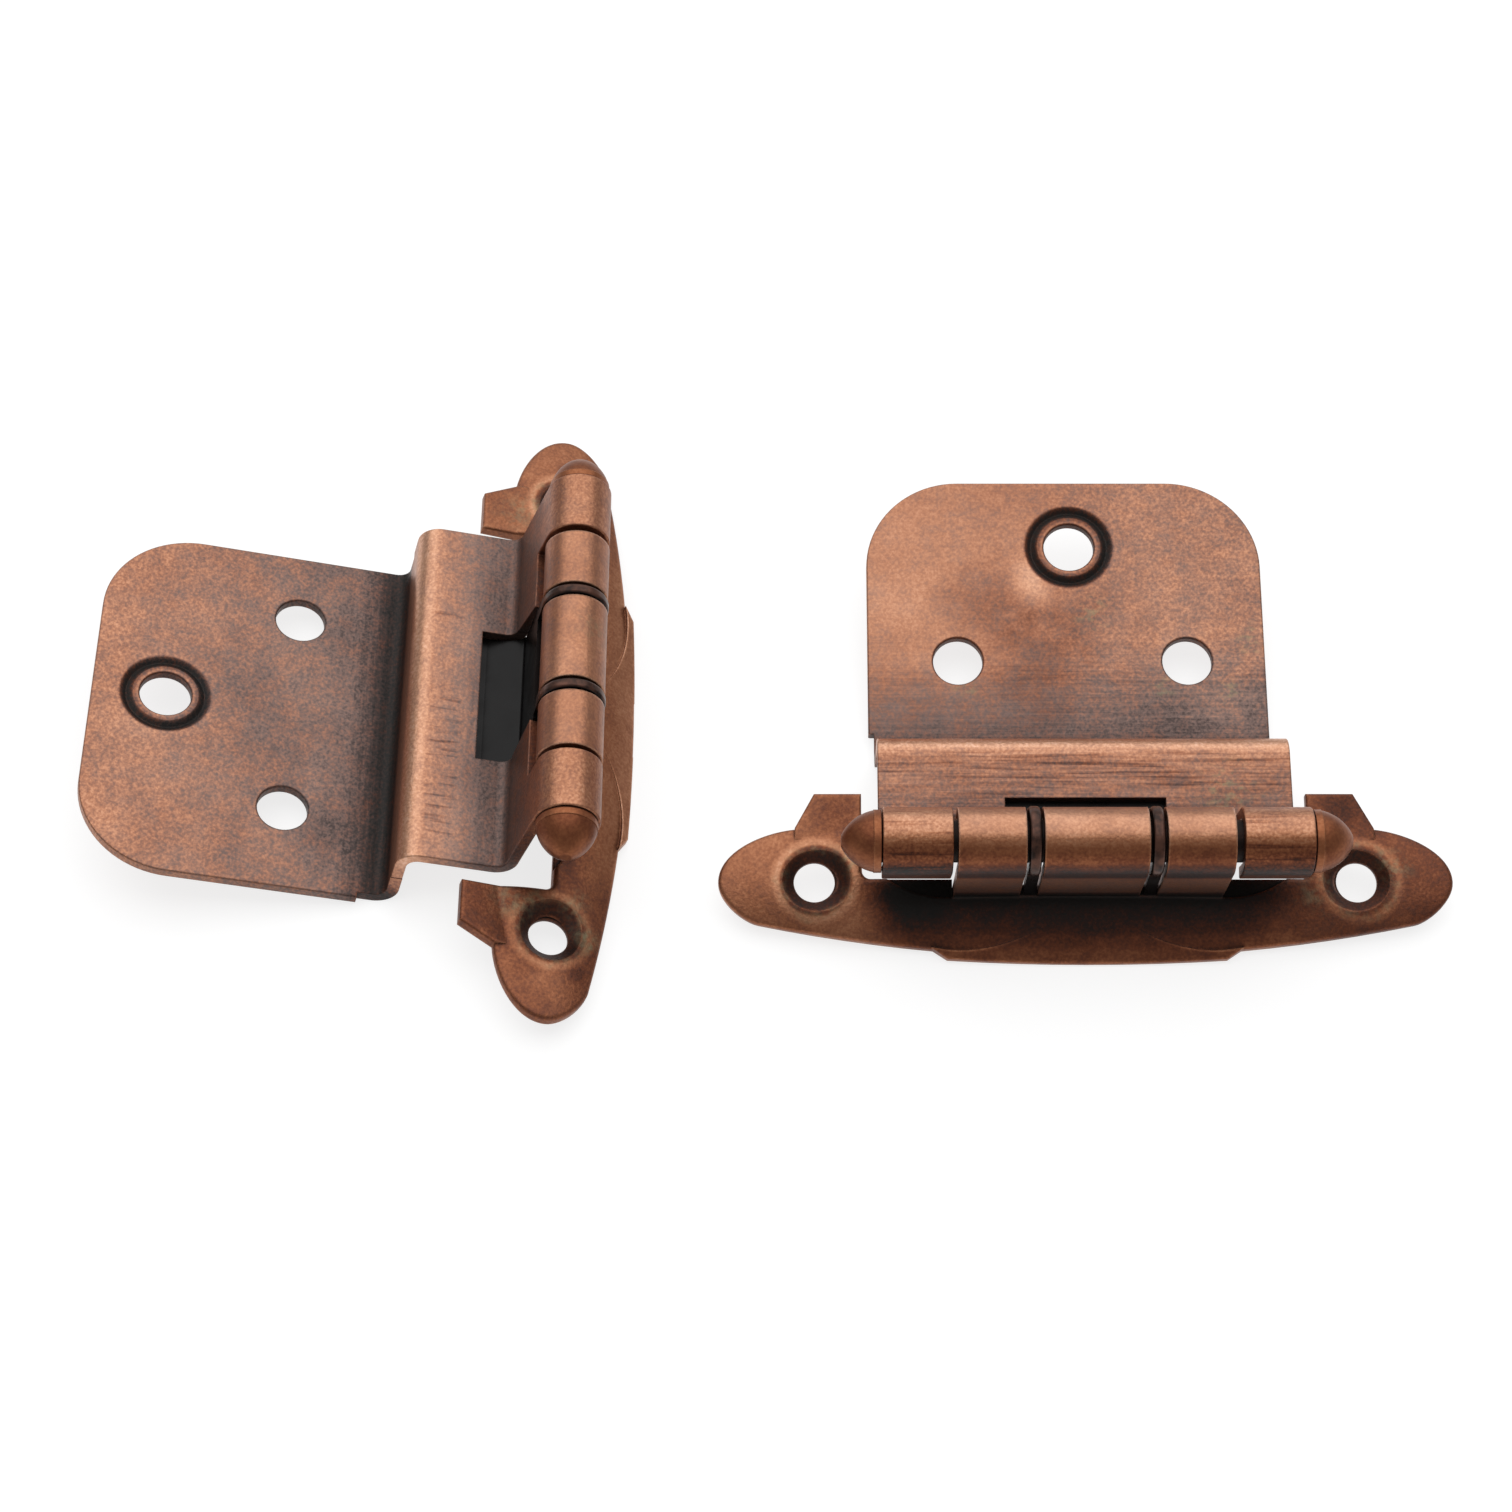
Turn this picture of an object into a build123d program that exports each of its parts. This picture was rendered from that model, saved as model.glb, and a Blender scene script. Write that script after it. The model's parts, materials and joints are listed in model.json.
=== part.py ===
"""A pair of self-closing inset cabinet hinges, lying on a table as they come to rest.

Each hinge is drawn with its pin along X. Y runs from the pin towards the cabinet door and Z is square
to the door plate. The pair is placed at the end: both hinges rest on the fold of the door leaf and on the
outer edge of the frame leaf, and one is turned a quarter turn to the other.
"""

import math
import os

from build123d import *

# Sheet, pin and barrel
sheet = 1.1
pin_diameter = 3.85
pin_clearance = 0.05
knuckle_overhang = 0.05
outer_knuckle_length = 6.3
middle_knuckle_length = 9.4
spring_slot = 1.6
knuckle_gap = 0.6

# Rounding of the stamped edges
plate_edge_round = 0.2
groove_round = 0.3
strip_edge_round = 0.15
leaf_edge_round = 0.4
petal_edge_round = 0.15
tab_edge_round = 0.25

# Door leaf
plate_width = 38.5
plate_shift = -0.6
plate_reach = 43.1
plate_corner = 9.0
strip_depth = 8.6
inset_drop = 7.4
riser_face = 13.9
wall_lean = 7.0
bend_inside = 1.1
plate_bend_inside = 1.2
plate_start = 16.5
wall_cut_height = -2.5
window_width = 15.0
window_front = 7.3
window_top_width = 13.0
curl_turn = 190.0
curl_tail = 2.2
door_screw_spacing = 22.2
door_screw_row = 24.1
door_screw_hole = 4.8
set_screw_margin = 6.95
set_screw_hole = 4.9
set_groove_outer = 8.7
set_groove_inner = 6.2
set_groove_depth = 0.4

# Frame leaf, drawn in its closed position
over_close = 4.0
leaf_play = -0.15
leaf_length = 68.0
leaf_centre = -1.25
leaf_base = -10.5
crown_top = -7.9
crown_fall = 1.6
crown_radius = 16.0
edge_apex = -8.35
edge_radius = 150.0
shoulder_back = 3.7
ear_back = 3.9
ear_back_margin = 7.8
shoulder_pull = 0.75
swell_apex = -8.95
swell_end = -8.55
swell_length = 25.8
swell_step = 1.5
notch_gap = 1.4
notch_edge = -1.2
notch_round = 0.8
tab_reach = 7.2
tab_top_width = 4.4
tab_foot_width = 6.2
frame_screw_spacing = 50.2
frame_screw_hole = 3.8
frame_screw_head = 6.6
frame_screw_depth = 1.5
frame_screw_land = 0.4
ridge_start = 3.2
ridge_height = 0.35
petal_tip_y = -5.1
petal_inset = 0.55
pocket_depth = 0.6
pocket_end = 18.5
pocket_bow = 1.55
tongue_turn = 240.0
tongue_bend_inside = 0.6
tongue_foot_sink = 0.55
slot_foot = -7.9

# Pin tips
tip_gap = 0.1
tip_flange = 0.7
tip_flange_diameter = 5.7
tip_cone = 2.9
tip_nose = 0.55
tip_nose_round = 0.3
tip_foot_share = 0.98
tip_waist_share = 0.77
tip_spigot_diameter = 2.4
tip_spigot_length = 1.6

# Closing spring
spring_loop_width = 1.1
spring_loop_round = 0.35
spring_loop_proud = 0.08
spring_sheet = 0.7
spring_side_gap = 0.15
spring_web_gap = 0.2
spring_leg_top = -1.5
spring_leg_end = -7.2
spring_tail_end = 10.6
spring_tail_cover = 1.2
spring_under_gap = 0.1

# Reach of drawn shapes into their neighbours, and of a search for edges round a level
overlap = 0.1
level_reach = 0.01

# Places of the two hinges on the table
right_pin = (0.0, 0.0)
left_pin = (-47.7, 21.25)
right_turn = 0.0
left_turn = 90.0

# Sizes that follow from those above
knuckle_outer_end = plate_width / 2 + knuckle_overhang
set_screw_row = plate_reach - set_screw_margin
pin_radius = pin_diameter / 2
knuckle_bore = pin_radius + pin_clearance
barrel_radius = knuckle_bore + sheet
curl_radius = barrel_radius - sheet / 2
outer_knuckle_inner_end = knuckle_outer_end - outer_knuckle_length
inner_knuckle_outer_end = outer_knuckle_inner_end - knuckle_gap
slot_inner = middle_knuckle_length / 2
slot_outer = slot_inner + spring_slot
strip_middle = -strip_depth - sheet / 2
plate_top = -strip_depth - inset_drop
plate_middle = plate_top - sheet / 2
plate_left = plate_shift - plate_width / 2
plate_right = plate_shift + plate_width / 2
riser_middle = riser_face - sheet / 2
riser_step = (strip_middle + plate_middle) / 2
bend_middle = bend_inside + sheet / 2
plate_bend_middle = plate_bend_inside + sheet / 2


def ring_point(radius, degrees):
    """Point at an angle on a circle round the pin, as (y, z)."""
    return (radius * math.cos(math.radians(degrees)), radius * math.sin(math.radians(degrees)))


def beyond(point, degrees, distance):
    """Point reached from another one by going a distance at an angle."""
    return (
        point[0] + distance * math.cos(math.radians(degrees)),
        point[1] + distance * math.sin(math.radians(degrees)),
    )


# Plate, with the fold and the lower half of the riser that carry it and end where the strip ends
with BuildPart() as door_plate:
    with BuildSketch(Plane.YZ.offset(-knuckle_outer_end)):
        with BuildLine():
            FilletPolyline(
                (riser_middle, riser_step),
                (riser_middle, plate_middle),
                (plate_start, plate_middle),
                radius=plate_bend_middle,
            )
        trace(line_width=sheet)
    extrude(amount=plate_right + knuckle_outer_end)
    with BuildSketch(Plane.XY.offset(plate_top - sheet)):
        with BuildLine():
            Polyline(
                (plate_left, plate_reach - plate_corner),
                (plate_left, plate_start),
                (plate_right, plate_start),
                (plate_right, plate_reach - plate_corner),
            )
            JernArc((plate_right, plate_reach - plate_corner), (0, 1), plate_corner, 90)
            Line((plate_right - plate_corner, plate_reach), (plate_left + plate_corner, plate_reach))
            JernArc((plate_left + plate_corner, plate_reach), (-1, 0), plate_corner, 90)
        make_face()
        with Locations((-door_screw_spacing / 2, door_screw_row), (door_screw_spacing / 2, door_screw_row)):
            Circle(door_screw_hole / 2, mode=Mode.SUBTRACT)
        with Locations((0, set_screw_row)):
            Circle(set_screw_hole / 2, mode=Mode.SUBTRACT)
    extrude(amount=sheet)
    for level in (plate_top, plate_top - sheet):
        rims = door_plate.edges().filter_by_position(Axis.Z, level - level_reach, level + level_reach)
        fillet(rims.filter_by_position(Axis.Y, plate_start + level_reach, plate_reach), plate_edge_round)

    # Pressed ring round the hole nearest the free edge
    with BuildSketch(Plane.YZ):
        with BuildLine():
            Polyline(
                (set_screw_row + set_groove_inner / 2, plate_top),
                (set_screw_row + (set_groove_inner + set_groove_outer) / 4, plate_top - set_groove_depth),
                (set_screw_row + set_groove_outer / 2, plate_top),
                close=True,
            )
        make_face()
    revolve(axis=Axis((0, set_screw_row, 0), (0, 0, 1)), mode=Mode.SUBTRACT)
    round_edges = door_plate.edges().filter_by(GeomType.CIRCLE)
    on_top = round_edges.filter_by_position(Axis.Z, plate_top - level_reach, plate_top + level_reach)
    fillet([edge for edge in on_top if abs(edge.radius - set_groove_outer / 2) < level_reach], groove_round)

# Door leaf: one sheet from the curled knuckles down the wall, along the strip, down the riser to the plate
wall_top = ring_point(curl_radius, wall_lean)
wall_slope = math.cos(math.radians(wall_lean))
wall_notch = beyond(wall_top, wall_lean - 90, (wall_top[1] - wall_cut_height) / wall_slope)
wall_foot = beyond(wall_top, wall_lean - 90, (wall_top[1] - strip_middle) / wall_slope)
wall_bend_end = beyond(wall_foot, wall_lean + 90, 2 * bend_middle)
curl_end = ring_point(curl_radius, curl_turn)

with BuildPart() as door_leaf:
    for outer_knuckle in (Plane.YZ.offset(outer_knuckle_inner_end), Plane.YZ.offset(-knuckle_outer_end)):
        with BuildSketch(outer_knuckle):
            with BuildLine():
                Line(wall_bend_end, wall_top)
                CenterArc((0, 0), curl_radius, wall_lean, curl_turn - wall_lean)
                Line(curl_end, beyond(curl_end, curl_turn + 90, curl_tail))
            trace(line_width=sheet)
        extrude(amount=outer_knuckle_length)

    with BuildSketch(Plane.YZ):
        with BuildLine():
            FilletPolyline(
                wall_notch,
                wall_foot,
                (riser_middle, strip_middle),
                (riser_middle, riser_step),
                radius=bend_middle,
            )
        trace(line_width=sheet)
    extrude(amount=knuckle_outer_end, both=True)
    fillet(door_leaf.faces().filter_by(Axis.X).edges().filter_by(GeomType.LINE), strip_edge_round)
    add(door_plate.part)

    # Window in the strip, carried up through the wall with leaning sides
    with BuildSketch(Plane.XY.offset(-strip_depth - 2 * sheet)):
        with Locations((0, window_front / 2)):
            Rectangle(window_width, window_front)
    extrude(amount=3 * sheet, mode=Mode.SUBTRACT)
    with BuildSketch(Plane.XZ):
        with BuildLine():
            Polyline(
                (-window_width / 2, -strip_depth),
                (window_width / 2, -strip_depth),
                (window_top_width / 2, wall_cut_height + sheet),
                (-window_top_width / 2, wall_cut_height + sheet),
                close=True,
            )
        make_face()
    extrude(amount=-window_front, mode=Mode.SUBTRACT)

# Frame leaf: crowned oval face, ears, tabs, and the tongue curled into the three middle knuckles
leaf_end = leaf_length / 2
shoulder_x = leaf_end - shoulder_back
ear_back_x = leaf_end - ear_back_margin
crown_axis = crown_top - crown_radius
screw_x = frame_screw_spacing / 2
notch_x = knuckle_outer_end + notch_gap
swell_x = swell_length / 2
swell_top = swell_x + swell_step
swell_radius = (swell_x**2 + (swell_end - swell_apex) ** 2) / (2 * (swell_end - swell_apex))


def edge_y(x):
    """Outer edge of the long oval at a place along the pin."""
    return edge_apex + edge_radius - math.sqrt(edge_radius**2 - x**2)


def swell_y(x):
    """Outer edge of the wider middle at a place along the pin."""
    return swell_apex + swell_radius - math.sqrt(swell_radius**2 - x**2)


def crown_z(x):
    """Height of the crest of the crowned face at a place along the pin."""
    bow = ((leaf_end**2) + crown_fall**2) / (2 * crown_fall)
    return crown_top - bow + math.sqrt(bow**2 - x**2)


# Raised petals at both ends of the wider middle, which fade out towards the centre
with BuildPart() as petals:
    with BuildSketch(Plane.XY.offset(leaf_base)):
        with BuildLine():
            petal_middle = (ridge_start + swell_top) / 2
            ThreePointArc(
                (ridge_start, petal_tip_y),
                (petal_middle, edge_y(petal_middle) + petal_inset),
                (swell_top, edge_y(swell_top) + overlap),
            )
            Polyline((swell_top, edge_y(swell_top) + overlap), (swell_x, swell_y(swell_x)))
            ThreePointArc(
                (swell_x, swell_y(swell_x)),
                (petal_middle, swell_y(petal_middle)),
                (ridge_start, swell_y(ridge_start)),
            )
            Line((ridge_start, swell_y(ridge_start)), (ridge_start, petal_tip_y))
        make_face()
    extrude(amount=crown_top - leaf_base + sheet)
    with BuildSketch(Plane.XZ.offset(-leaf_centre)):
        with BuildLine():
            Polyline(
                (ridge_start, crown_z(ridge_start)),
                (swell_top, crown_z(swell_top) + ridge_height),
                (swell_top, crown_z(swell_top) - sheet / 2),
                (ridge_start, crown_z(ridge_start) - sheet / 2),
                close=True,
            )
        make_face()
    revolve(axis=Axis((0, leaf_centre, crown_axis), (1, 0, 0)), mode=Mode.INTERSECT)
    fillet(petals.faces().sort_by(Axis.Z)[-1].edges().sort_by(Axis.Y)[:2], petal_edge_round)
    mirror(about=Plane.YZ)

# Locating tabs, flat at the foot of the ears
with BuildPart() as tabs:
    with BuildSketch(Plane.XY.offset(leaf_base)):
        with BuildLine():
            Polyline(
                (notch_x, ear_back - sheet),
                (notch_x, tab_reach),
                (notch_x + tab_top_width, tab_reach),
                (notch_x + tab_foot_width, ear_back),
                (notch_x + tab_foot_width, ear_back - sheet),
                close=True,
            )
        make_face()
    extrude(amount=sheet)
    fillet(tabs.faces().sort_by(Axis.Z)[-1].edges().sort_by(Axis.Y)[-3:], tab_edge_round)
    mirror(about=Plane.YZ)

with BuildPart() as frame_leaf:
    with BuildSketch(Plane.XY.offset(leaf_base)):
        with BuildLine():
            ThreePointArc(
                (0, edge_apex),
                (shoulder_x / 2, edge_y(shoulder_x / 2)),
                (shoulder_x, edge_y(shoulder_x)),
            )
            Spline(
                (shoulder_x, edge_y(shoulder_x)),
                (leaf_end, leaf_centre),
                (ear_back_x, ear_back),
                tangents=((math.sqrt(edge_radius**2 - shoulder_x**2), shoulder_x), (0, 1), (-1, 0)),
                tangent_scalars=(shoulder_pull, 1, 1),
            )
            Line((ear_back_x, ear_back), (notch_x, ear_back))
            FilletPolyline((notch_x, ear_back), (notch_x, notch_edge), (0, notch_edge), radius=notch_round)
            mirror(about=Plane.YZ)
        make_face()
        with BuildLine():
            ThreePointArc((-swell_x, swell_end), (0, swell_apex), (swell_x, swell_end))
            Polyline(
                (swell_x, swell_end),
                (swell_top, edge_y(swell_top) + overlap),
                (0, notch_edge - sheet),
                (-swell_top, edge_y(swell_top) + overlap),
                (-swell_x, swell_end),
            )
        make_face()
    extrude(amount=crown_top - leaf_base + sheet)
    with BuildSketch(Plane.XZ.offset(-leaf_centre)):
        with BuildLine():
            far = leaf_end + sheet
            ThreePointArc((-far, crown_z(far)), (0, crown_top), (far, crown_z(far)))
            Line((far, crown_z(far)), (far, crown_z(far) - sheet))
            ThreePointArc((far, crown_z(far) - sheet), (0, crown_top - sheet), (-far, crown_z(far) - sheet))
            Line((-far, crown_z(far) - sheet), (-far, crown_z(far)))
        make_face()
    revolve(axis=Axis((0, leaf_centre, crown_axis), (1, 0, 0)), mode=Mode.INTERSECT)
    fillet(frame_leaf.faces().sort_by(Axis.Z)[-1].outer_wire().edges(), leaf_edge_round)
    add(petals.part)
    add(tabs.part)

    # Dimples pressed down round the countersunk screw holes
    for side in (-1, 1):
        dimple_top = crown_z(screw_x)
        land_top = dimple_top - frame_screw_depth + frame_screw_land
        dimple_plane = Plane.XZ.offset(-leaf_centre)
        with BuildSketch(dimple_plane):
            with BuildLine():
                Polyline(
                    (side * screw_x, dimple_top - sheet),
                    (side * (screw_x + frame_screw_head / 2 + sheet), dimple_top - sheet),
                    (side * (screw_x + frame_screw_hole / 2 + sheet), dimple_top - frame_screw_depth),
                    (side * screw_x, dimple_top - frame_screw_depth),
                    close=True,
                )
            make_face()
        revolve(axis=Axis((side * screw_x, leaf_centre, 0), (0, 0, 1)))
        with BuildSketch(dimple_plane):
            with BuildLine():
                Polyline(
                    (side * screw_x, crown_top + sheet),
                    (side * (screw_x + frame_screw_head / 2), crown_top + sheet),
                    (side * (screw_x + frame_screw_head / 2), dimple_top),
                    (side * (screw_x + frame_screw_hole / 2), land_top),
                    (side * (screw_x + frame_screw_hole / 2), leaf_base - sheet),
                    (side * screw_x, leaf_base - sheet),
                    close=True,
                )
            make_face()
        revolve(axis=Axis((side * screw_x, leaf_centre, 0), (0, 0, 1)), mode=Mode.SUBTRACT)

    # Pockets beside the tongue, where the sheet turns up
    with BuildSketch(Plane.XY.offset(crown_z(pocket_end) - pocket_depth)):
        with BuildLine():
            ThreePointArc(
                (pocket_end, notch_edge),
                ((pocket_end + inner_knuckle_outer_end) / 2, notch_edge - pocket_bow),
                (inner_knuckle_outer_end, -barrel_radius),
            )
            Polyline(
                (inner_knuckle_outer_end, -barrel_radius),
                (inner_knuckle_outer_end, notch_edge + sheet),
                (pocket_end, notch_edge + sheet),
                (pocket_end, notch_edge),
            )
        make_face()
        mirror(about=Plane.YZ)
    extrude(amount=2 * sheet, mode=Mode.SUBTRACT)

    # Behind the tongue the sheet is gone: it was turned up
    with BuildSketch(Plane.XY.offset(leaf_base)):
        with Locations((0, -knuckle_bore + sheet)):
            Rectangle(2 * inner_knuckle_outer_end, 2 * sheet)
    extrude(amount=-2 * leaf_base, mode=Mode.SUBTRACT)

    # Tongue, bent up from the face, and knuckles
    foot_middle = crown_top - tongue_foot_sink - sheet / 2
    with BuildSketch(Plane.YZ):
        with BuildLine():
            CenterArc((0, 0), curl_radius, 180 - tongue_turn, tongue_turn)
            FilletPolyline(
                (-curl_radius, 0),
                (-curl_radius, foot_middle),
                (-curl_radius - tongue_bend_inside - sheet, foot_middle),
                radius=tongue_bend_inside + sheet / 2,
            )
        trace(line_width=sheet)
    extrude(amount=inner_knuckle_outer_end, both=True)
    with BuildSketch(Plane.XY.offset(slot_foot)):
        with GridLocations(slot_inner + slot_outer, 0, 2, 1):
            Rectangle(spring_slot, 4 * barrel_radius)
    extrude(amount=-2 * slot_foot, mode=Mode.SUBTRACT)

# Pin with one cone tip made on it
pin_end = knuckle_outer_end + tip_gap
tip_end = pin_end + tip_flange + tip_cone


def tip_outline(inner_radius):
    """Half section of a cone tip beyond the +X end of the barrel, drawn inside a BuildLine block."""
    flange = tip_flange_diameter / 2
    Line((tip_end, 0), (tip_end, tip_nose))
    ThreePointArc(
        (tip_end, tip_nose),
        (pin_end + tip_flange + tip_cone / 2, flange * tip_waist_share),
        (pin_end + tip_flange, flange * tip_foot_share),
    )
    Polyline(
        (pin_end + tip_flange, flange * tip_foot_share),
        (pin_end + tip_flange, flange),
        (pin_end, flange),
        (pin_end, inner_radius),
    )


with BuildPart() as hinge_pin:
    with BuildSketch(Plane.XZ):
        with BuildLine():
            tip_outline(pin_radius)
            Polyline(
                (pin_end, pin_radius),
                (-pin_end, pin_radius),
                (-pin_end, tip_spigot_diameter / 2),
                (-pin_end - tip_spigot_length, tip_spigot_diameter / 2),
                (-pin_end - tip_spigot_length, 0),
                (tip_end, 0),
            )
        make_face()
    revolve(axis=Axis.X)
    fillet(hinge_pin.edges().sort_by(Axis.X)[-1], tip_nose_round)

# Second cone tip, pressed on the spigot of the pin
with BuildPart() as pin_tip:
    with BuildSketch(Plane.XZ):
        with BuildLine():
            tip_outline(tip_spigot_diameter / 2)
            Polyline(
                (pin_end, tip_spigot_diameter / 2),
                (pin_end + tip_spigot_length, tip_spigot_diameter / 2),
                (pin_end + tip_spigot_length, 0),
                (tip_end, 0),
            )
        make_face()
    revolve(axis=Axis.X)
    fillet(pin_tip.edges().sort_by(Axis.X)[-1], tip_nose_round)
    mirror(about=Plane.YZ, mode=Mode.REPLACE)

# Closing spring: loops on the pin with legs behind the tongue, a web in the window, a tail under the strip
loop_outer = barrel_radius + spring_loop_proud
loop_inner = knuckle_bore
loop_middle = loop_outer - spring_sheet / 2
web_front = loop_outer - spring_sheet
loop_x = slot_inner + spring_slot / 2
leg_middle = -loop_inner - spring_sheet / 2
web_top = -math.sqrt((barrel_radius + spring_web_gap) ** 2 - (loop_outer - spring_sheet) ** 2)
tail_middle = -strip_depth - sheet - spring_under_gap - spring_sheet / 2
web_foot_x = window_width / 2 - spring_side_gap
web_top_x = window_top_width / 2 - spring_side_gap

with BuildPart() as closing_spring:
    with BuildSketch(Plane.YZ):
        with BuildLine():
            FilletPolyline(
                (loop_middle, web_top),
                (loop_middle, strip_middle + spring_sheet / 2),
                (window_front - spring_sheet, tail_middle),
                (spring_tail_end, tail_middle),
                radius=spring_sheet,
            )
        trace(line_width=spring_sheet)
    extrude(amount=web_foot_x, both=True)

    # The web leans in with the sides of the window
    with BuildSketch(Plane.XZ):
        with BuildLine():
            Polyline(
                (web_top_x, wall_cut_height + sheet),
                (web_foot_x, -strip_depth),
                (window_width, -strip_depth),
                (window_width, wall_cut_height + sheet),
                close=True,
            )
        make_face()
        mirror(about=Plane.YZ)
    extrude(amount=-window_front, mode=Mode.SUBTRACT)
    with BuildSketch(Plane.XY.offset(tail_middle - spring_sheet / 2)):
        with Locations((0, (web_front + spring_tail_end) / 2)):
            Rectangle(window_width + 2 * spring_tail_cover, spring_tail_end - web_front)
    extrude(amount=spring_sheet)

    for side in (-1, 1):
        with BuildSketch(Plane.XY) as loop_section:
            with Locations((side * loop_x, (loop_inner + loop_outer) / 2)):
                Rectangle(spring_loop_width, loop_outer - loop_inner)
            fillet(loop_section.vertices().sort_by(Axis.Y)[-2:], spring_loop_round)
        revolve(axis=Axis.X)
        with BuildSketch(Plane.YZ.offset(side * loop_x - spring_loop_width / 2)):
            with Locations((loop_middle, web_top / 2)):
                Rectangle(spring_sheet, -web_top)
            with Locations((leg_middle, (spring_leg_top + spring_leg_end) / 2)):
                Rectangle(spring_sheet, spring_leg_top - spring_leg_end)
        extrude(amount=spring_loop_width)

pieces = {
    "door_leaf": door_leaf,
    "frame_leaf": frame_leaf,
    "hinge_pin": hinge_pin,
    "pin_tip": pin_tip,
    "closing_spring": closing_spring,
}

# At rest the frame leaf stands past its closed position, and the hinge leans on two lines: the rounded fold
# between riser and plate, and the outer edge of the frame leaf
closed_angle = math.radians(over_close)
edge_rest_y = swell_apex * math.cos(closed_angle) - leaf_base * math.sin(closed_angle)
edge_rest_z = swell_apex * math.sin(closed_angle) + leaf_base * math.cos(closed_angle)
fold_radius = plate_bend_inside + sheet
fold_y = riser_face + plate_bend_inside
fold_z = plate_top + plate_bend_inside
span = math.hypot(fold_y - edge_rest_y, fold_z - edge_rest_z)
slope = math.atan2(fold_z - edge_rest_z, fold_y - edge_rest_y)
rest_tilt = math.degrees(math.asin(fold_radius / span) - slope)
pin_height = -(
    edge_rest_y * math.sin(math.radians(rest_tilt)) + edge_rest_z * math.cos(math.radians(rest_tilt))
)


def hinge_place(pin, turn):
    """Place of a whole hinge on the table, from its pin's place and its turn seen from above."""
    return Location((pin[0], pin[1], pin_height), (0, 0, turn)) * Location((0, 0, 0), (rest_tilt, 0, 0))


hinges = {"right": hinge_place(right_pin, right_turn), "left": hinge_place(left_pin, left_turn)}
swing = {
    "frame_leaf": Location((leaf_play, 0, 0), (over_close, 0, 0)),
    "closing_spring": Location((leaf_play, 0, 0)),
}

# The origin is on the table, below the middle of the pair
placed = {
    f"{side}_{name}": piece.part.moved(place * swing.get(name, Location()))
    for side, place in hinges.items()
    for name, piece in pieces.items()
}
pair_box = Compound(list(placed.values())).bounding_box()
to_origin = Location((-pair_box.center().X, -pair_box.center().Y, -pair_box.min.Z))

os.makedirs("parts", exist_ok=True)
for name, part in placed.items():
    part = part.moved(to_origin)
    part.label = name
    export_step(part, f"parts/{name}.step")

for side, place in hinges.items():
    pin_middle = (to_origin * place).position
    print(f"{side} pin middle {pin_middle.X:.3f} {pin_middle.Y:.3f} {pin_middle.Z:.3f}")
print(f"rest tilt {rest_tilt:.4f} degrees")
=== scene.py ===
"""Studio picture of a pair of self-closing inset cabinet hinges in antique copper.

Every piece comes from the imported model. Each hinge has a frame of its own, with its pin along X, Y running
from the pin over the door plate, and Z square to the plate. The finishes are painted in that frame, in
millimetres, so that a worn bend or a dark crease lies where the sheet was really bent.
"""
import json
import logging
import math
from dataclasses import dataclass, field
from enum import Enum
from typing import Any

import bpy
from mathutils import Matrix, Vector

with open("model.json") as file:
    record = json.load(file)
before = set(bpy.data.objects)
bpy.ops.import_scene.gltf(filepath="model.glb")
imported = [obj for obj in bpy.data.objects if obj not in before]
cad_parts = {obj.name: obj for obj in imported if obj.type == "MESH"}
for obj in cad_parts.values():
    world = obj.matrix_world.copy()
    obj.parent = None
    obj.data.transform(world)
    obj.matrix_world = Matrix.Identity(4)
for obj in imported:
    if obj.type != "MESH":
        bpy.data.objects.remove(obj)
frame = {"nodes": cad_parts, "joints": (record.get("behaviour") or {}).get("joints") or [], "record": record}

log = logging.getLogger("hinges")

MM = 0.001

# Rays per point for the soft edges and the creases
RAYS = 6

# A socket of a node, or a plain value for it
Socket = Any

# Pairs of a place in millimetres and an amount, with smooth change between them
Stops = tuple[tuple[float, float], ...]

# Pairs of a darkness and a colour
Colours = tuple[tuple[float, str], ...]


class Side(Enum):
    """Which of the two hinges a finish is painted for."""

    RIGHT = "right"
    LEFT = "left"


class Way(Enum):
    """Directions in a hinge's own frame, along which an amount can change."""

    ALONG_PIN = (1.0, 0.0, 0.0)
    ACROSS_THE_PIN = (0.0, 1.0, 0.0)
    DOWN_THE_SHEET = (0.0, 1.0, -1.0)
    UP_THE_TONGUE = (0.0, 1.0, 1.0)


def linear(colour: str) -> tuple[float, float, float, float]:
    """Turns a colour written as sRGB hex into linear light.

    Args:
        colour: Six hex digits after a hash sign.

    Returns:
        Red, green, blue and an alpha of 1, in linear light.
    """
    parts = [int(colour[place:place + 2], 16) / 255 for place in (1, 3, 5)]
    light = [part / 12.92 if part <= 0.04045 else ((part + 0.055) / 1.055) ** 2.4 for part in parts]
    return (light[0], light[1], light[2], 1.0)


def add_node(
    tree: bpy.types.NodeTree, kind: str, links: dict[Any, Socket] | None = None, **settings: Any
) -> Any:
    """Adds a node with its settings, and fills its sockets.

    Args:
        tree: The material's node tree.
        kind: Type of the node, without the words ShaderNode.
        links: Value or other node's output for each input socket, by name or number.
        settings: Properties of the node.

    Returns:
        The new node.
    """
    node = tree.nodes.new("ShaderNode" + kind)
    for name, value in settings.items():
        setattr(node, name, value)
    for name, value in (links or {}).items():
        if isinstance(value, bpy.types.NodeSocket):
            tree.links.new(value, node.inputs[name])
        else:
            node.inputs[name].default_value = value
    return node


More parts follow.
